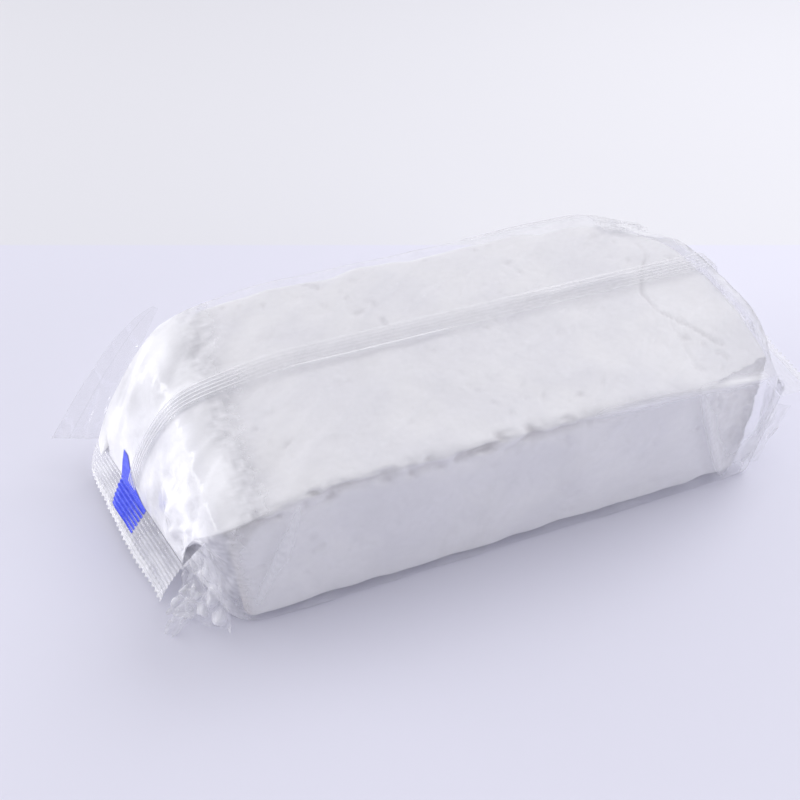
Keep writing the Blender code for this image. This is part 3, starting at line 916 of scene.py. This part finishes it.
class EndSeal:
    def __init__(self, root, shape):
        self.front, self.back = np.array(root["front"]), np.array(root["back"])
        self.droop, self.curl, self.dust, self.seed = shape["droop"], shape["curl"], shape["dust"], shape["seed"]
        along = self.back - self.front
        self.length = np.linalg.norm(along)
        self.outward = unit(np.array((along[1], -along[0], 0.0))) * shape["side"]

    def place(self, s, q, lift=0.0, ribs=True):  # s is the share along the root, q the way down the seal
        s, q = np.broadcast_arrays(np.asarray(s, float), np.asarray(q, float))
        share = np.clip(q / sealShape["width"], -0.2, 1.2)
        droop = self.droop[0] + (self.droop[1] - self.droop[0]) * s * s + self.curl * share
        angle = np.radians(droop)[..., None]
        up = np.array((0.0, 0.0, 1.0))
        down = self.outward * np.cos(angle) - up * np.sin(angle)
        off = self.outward * np.sin(angle) + up * np.cos(angle)
        root = self.front + (self.back - self.front) * s[..., None]
        height = np.asarray(lift, float) + 0 * q
        if ribs:
            height = height + sealShape["ribHeight"] * sealRib(q)
        flat = np.stack([s * self.length, q * 0.5, 0 * q], axis=-1)
        buckle = 0.9 * noiseAt(flat, 9.0, self.seed) * smoothStep(0, 13, q)
        buckle = buckle + 0.35 * noiseAt(flat, 3.5, self.seed + 1) * smoothStep(4, 13, q)
        points = root + down * q[..., None] + off * (height + buckle)[..., None]
        points[..., 2] = np.maximum(points[..., 2], 0.25)
        return points

    def sheet(self, name, node, body):
        shape = sealShape
        s = np.linspace(0, 1, round(self.length / 0.3))
        v = np.linspace(0, 1, 104)
        saw = np.abs(((s * self.length / shape["tooth"]) % 1.0) * 2 - 1)
        ragged = 0.5 * noiseAt(np.stack([s * self.length, 0 * s, 0 * s], axis=-1), 7.0, self.seed + 2)
        end = shape["width"] - 0.4 + shape["toothDepth"] * saw + ragged
        grid = self.place(s[:, None], v[None, :] * end[:, None])
        edge = smoothStep(0.72, 0.8, v)[None, :] + 0 * s[:, None]
        # chalk dust on the seal, with a painted highlight along its toothed cut edge
        dust = self.dust * (0.6 + 0.6 * noiseAt(grid, 5.0, self.seed + 3)) + 0.25 * edge
        piece = addSheet(name, grid, sealedFilm, marks={"slack": edge, "dust": np.clip(dust, 0, 0.9)})
        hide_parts(node)
        self.bend(piece, body)

    def bend(self, piece, body):
        far = self.place(0.5, sealShape["grip"], ribs=False)
        tuple(far * mm)
        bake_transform(piece)


leftSeal = EndSeal(leftRoot, sealShape["left"])
rightSeal = EndSeal(rightRoot, sealShape["right"])
leftSeal.sheet("leftEndSeal", "left_end_seal", "left_seal")
rightSeal.sheet("rightEndSeal", "right_end_seal", "right_seal")
print("end seals made")


patchShape = {
    "start": 0.40,  # share of the left seal's length
    "end": 0.70,
    "reach": 8.8,  # down the seal
    "tail": 8.5,  # up the slack film
    "lift": 0.16,
}


def makeInkPatch():
    shape = patchShape
    down = np.concatenate([np.linspace(-shape["tail"], 0, 40)[:-1], np.linspace(0, shape["reach"], 70)])
    v = np.linspace(0, 1, 60)
    s = np.zeros((len(down), len(v)))
    for i, q in enumerate(down):
        up = np.clip(-q / shape["tail"], 0, 1)
        low = shape["start"] + (shape["end"] - shape["start"] - 0.07) * up**0.45 + 0.05 * up
        high = shape["end"] - 0.004 * max(q, 0) + 0.03 * up
        s[i] = low + (high - low) * v
    q = down[:, None] + 0 * s
    onSeal = leftSeal.place(s, np.maximum(q, 0), lift=shape["lift"])
    slope = np.linalg.norm(webGrid[0] - webGrid[6], axis=-1)[topStart + 50] / 6
    rows = np.clip(-q, 0, None) / slope
    cols = topStart + webShape["top"] * (1 - s)
    onTent = overWeb(rows, cols, shape["lift"] + 0 * s)
    points = blur(np.where((q >= 0)[..., None], onSeal, onTent), 2, 0)
    # the ink misses the grooves at one side of the patch
    comb = smoothStep(0.45, 0.9, sealRib(q)) * (1 - smoothStep(0.42, 0.56, s)) * (q > 1.5)
    ragged = noiseAt(np.stack([q, s * 55, 0 * q], axis=-1), 1.3, 51)
    edge = np.minimum(v, 1 - v)[None, :] + 0.03 * ragged
    cover = smoothStep(0.0, 0.04, edge) * (1 - 0.92 * comb)
    piece = addSheet("inkPatch", points, blueInk, marks={"cover": cover})
    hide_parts("print_patch")
    leftSeal.bend(piece, "left_seal")


makeInkPatch()
print("ink patch made")


earShape = {
    "reach": 14.0,  # how far its tip stands beyond the back end of the left seal
    "inset": 4.0,
    "drop": 1.0,
    "fullness": 4.0,
    "crumple": 0.7,
    "rows": 90,
    "cols": 60,
    "seed": 61,
}


def earGrid(top, foot, tip):
    seed, crumple = earShape["seed"], earShape["crumple"]
    u = np.linspace(0.02, 1, earShape["rows"])[:, None]
    v = np.linspace(0, 1, earShape["cols"])[None, :]
    hinge = unit(foot - top)
    across = unit((tip - top) - hinge * ((tip - top) @ hinge))
    near = top + (foot - top) * u[..., None]
    belly = earShape["fullness"] * np.sin(math.pi * u**0.6)
    far = top + (tip - top) * u[..., None] + across * belly[..., None]
    grid = near + (far - near) * v[..., None]
    off = np.cross(hinge, across)
    flat = np.stack([u * 60 + 0 * v, v * 20 * u + 0 * u, 0 * u * v], axis=-1)
    bend = noiseAt(flat, (14.0, 5.0, 9.0), seed) + 0.8 * sharpFolds(flat, (20.0, 5.0, 9.0), seed + 1)
    bend = crumple * bend * smoothStep(0.0, 0.25, v)
    return grid + off * bend[..., None]


def makeBackEar():
    foot = np.array(leftRoot["back"])
    top = np.array((wrapLow[0] - 0.6, wrapHigh[1] - 0.2, wrapHigh[2] - 0.6))
    tipPlace = (foot[0] - earShape["reach"], wrapHigh[1] - 0.7 - earShape["inset"], foot[2] - earShape["drop"])
    tip = np.array(tipPlace)
    grid = earGrid(top, foot, tip)
    u = np.linspace(0, 1, earShape["rows"])[:, None]
    v = np.linspace(0, 1, earShape["cols"])[None, :]
    # painted highlights along its cut edges and one crease
    edges = smoothStep(0.965, 0.99, v) + 0.6 * np.exp(-(((v - 0.62) / 0.012) ** 2)) + 0.7 * smoothStep(0.97, 0.995, u)
    marks = {"slack": 0.6 * np.ones(edges.shape), "dust": 0.25 * np.clip(edges, 0, 1)}
    piece = addSheet("leftBackEar", grid, clearFilm, marks=marks)
    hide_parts("left_back_ear")
    middle = (top + foot) / 2
    hinge = unit(foot - top)
    outward = unit(tip - foot)
    outward = unit(outward - hinge * (outward @ hinge))
    tuple((middle + outward * 2.5) * mm)
    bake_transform(piece)


makeBackEar()
print("dog ear made")


foldShapes = {  # corners round the fold, the first two on the pack
    "leftFrontFold": {
        "corners": [(-84.0, -35.5, 37.0), (-92.5, -22.5, 11.0), (-99.5, -29.5, 1.0), (-84.0, -42.0, 3.0)],
        "squares": 80,
        "size": 20.0,
        "depth": 1.8,
        "dustAndGlint": 0.75,
        "seed": 71,
    },
    "leftFrontTip": {
        "corners": [(-88.0, -32.0, 9.0), (-93.0, -26.0, 6.0), (-101.5, -34.0, 0.4), (-99.0, -37.0, 0.4)],
        "squares": 40,
        "size": 11.0,
        "depth": 1.2,
        "dustAndGlint": 0.35,
        "seed": 74,
    },
    "rightFrontFold": {
        "corners": [(80.8, -38.0, 30.0), (74.0, -41.0, 8.0), (80.0, -43.5, 10.0), (91.0, -38.0, 25.0)],
        "squares": 50,
        "size": 15.0,
        "depth": 1.1,
        "dustAndGlint": 0.45,
        "seed": 77,
    },
    "backBunch": {
        "corners": [(58.0, 39.5, 50.8), (76.0, 36.0, 46.0), (75.0, 27.0, 48.6), (59.0, 29.0, 51.2)],
        "squares": 60,
        "size": 12.0,
        "depth": 0.8,
        "dustAndGlint": 0.5,
        "seed": 80,
    },
}


def crumpledFold(name, shape):
    a, b, c, d = (np.array(corner) for corner in shape["corners"])
    size, seed = shape["size"], shape["seed"]
    u = np.linspace(0, 1, shape["squares"])[:, None, None]
    v = np.linspace(0, 1, shape["squares"])[None, :, None]
    grid = (a * (1 - u) + b * u) * (1 - v) + (d * (1 - u) + c * u) * v
    flat = np.concatenate([u * size * 2 + 0 * v, v * size * 2 + 0 * u, 0 * u * v], axis=-1)
    facets = facetsAt(flat, size * 0.55, seed + 1)
    held = smoothStep(0.0, 0.2, v[..., 0]) * 0.85 + 0.15
    bend = noiseAt(flat, size * 0.9, seed) + 1.8 * facets + 0.2 * facetsAt(flat, size * 0.25, seed + 2)
    grid = grid + (shape["depth"] * bend * held)[..., None] * gridNormals(grid)
    grid[..., 2] = np.maximum(grid[..., 2], 0.2)
    # chalk dust, whiter on the facets' ridges as painted highlights
    dust = shape["dustAndGlint"] * (0.6 + facets + 0.5 * noiseAt(flat, size, seed + 3))
    marks = {"slack": np.ones(grid.shape[:2]), "dust": np.clip(dust, 0, 0.9)}
    bodyPiece(addSheet(name, grid, clearFilm, marks=marks), "pack", ())


for name, shape in foldShapes.items():
    crumpledFold(name, shape)
print("loose folds made")


def makeFloor():
    bm = bmesh.new()
    bmesh.ops.create_grid(bm, x_segments=2, y_segments=2, size=floorLook["size"])
    mesh = bpy.data.meshes.new("floor")
    bm.to_mesh(mesh)
    bm.free()
    mesh.materials.append(makeFloorFinish())
    floor = bpy.data.objects.new("floor", mesh)
    bpy.context.scene.collection.objects.link(floor)


lampSetup = {  # where each softbox stands, its width and height (both in metres), power, colour, seen in the film
    "leftBox": ((-0.86, 0.42, 0.13), (0.9, 0.24), 5.8, (1.0, 0.995, 0.99), False),
    "leftGlint": ((-0.86, 0.46, 0.14), (0.5, 0.12), 0.8, (1.0, 1.0, 1.0), True),
    "rightBox": ((0.42, 0.16, 0.58), (0.4, 0.4), 1.9, (1.0, 1.0, 1.0), False),
    "frontFill": ((0.60, -0.70, 0.30), (0.6, 0.4), 1.9, (0.98, 0.98, 1.0), False),
}
roomLight = {
    "level": 0.60,
    "back": (-0.15, 0.98, 0.0),  # the room is brighter behind the block
    "backGain": 0.24,
    "topGain": 0.16,
    "colour": (0.962, 0.958, 1.0, 1.0),
}


def makeLights():
    for name, (place, size, power, colour, mirrored) in lampSetup.items():
        lamp = bpy.data.lights.new(name, "AREA")
        lamp.shape = "RECTANGLE"
        lamp.size, lamp.size_y = size
        lamp.energy = power
        lamp.color = colour
        holder = bpy.data.objects.new(name, lamp)
        holder.location = place
        holder.rotation_euler = (Vector((0, 0, 0.03)) - Vector(place)).to_track_quat("-Z", "Y").to_euler()
        holder.visible_camera = False
        holder.visible_glossy = mirrored
        bpy.context.scene.collection.objects.link(holder)
    world = bpy.data.worlds.new("studio")
    world.use_nodes = True
    room = Recipe(None, world.node_tree)
    ray = room.node("TexCoord", out="Generated")
    side = room.node("VectorMath", {"operation": "DOT_PRODUCT"}, {0: ray, 1: roomLight["back"]}, out="Value")
    up = room.node("VectorMath", {"operation": "DOT_PRODUCT"}, {0: ray, 1: (0.0, 0.0, 1.0)}, out="Value")
    strength = side * roomLight["backGain"] + up * roomLight["topGain"] + roomLight["level"]
    glow = room.node("Background", {}, {"Color": roomLight["colour"], "Strength": strength})
    room.node("OutputWorld", {}, {"Surface": glow})
    bpy.context.scene.world = world
    bpy.context.scene.view_settings.view_transform = "Standard"


cameraSetup = {
    "place": (-0.0772, -0.1580, 0.2076),  # in metres
    "heading": (0.2301, 0.6461, -0.7278),
    "lens": 37.26,
}


def makeCamera():
    data = bpy.data.cameras.new("camera")
    data.sensor_width = 36.0
    data.lens = cameraSetup["lens"]
    data.clip_start = 0.01
    holder = bpy.data.objects.new("camera", data)
    holder.location = cameraSetup["place"]
    holder.rotation_euler = Vector(cameraSetup["heading"]).to_track_quat("-Z", "Y").to_euler()
    bpy.context.scene.collection.objects.link(holder)
    bpy.context.scene.camera = holder


makeFloor()
makeLights()
makeCamera()
print("floor, lights and camera made")

bpy.context.view_layer.update()
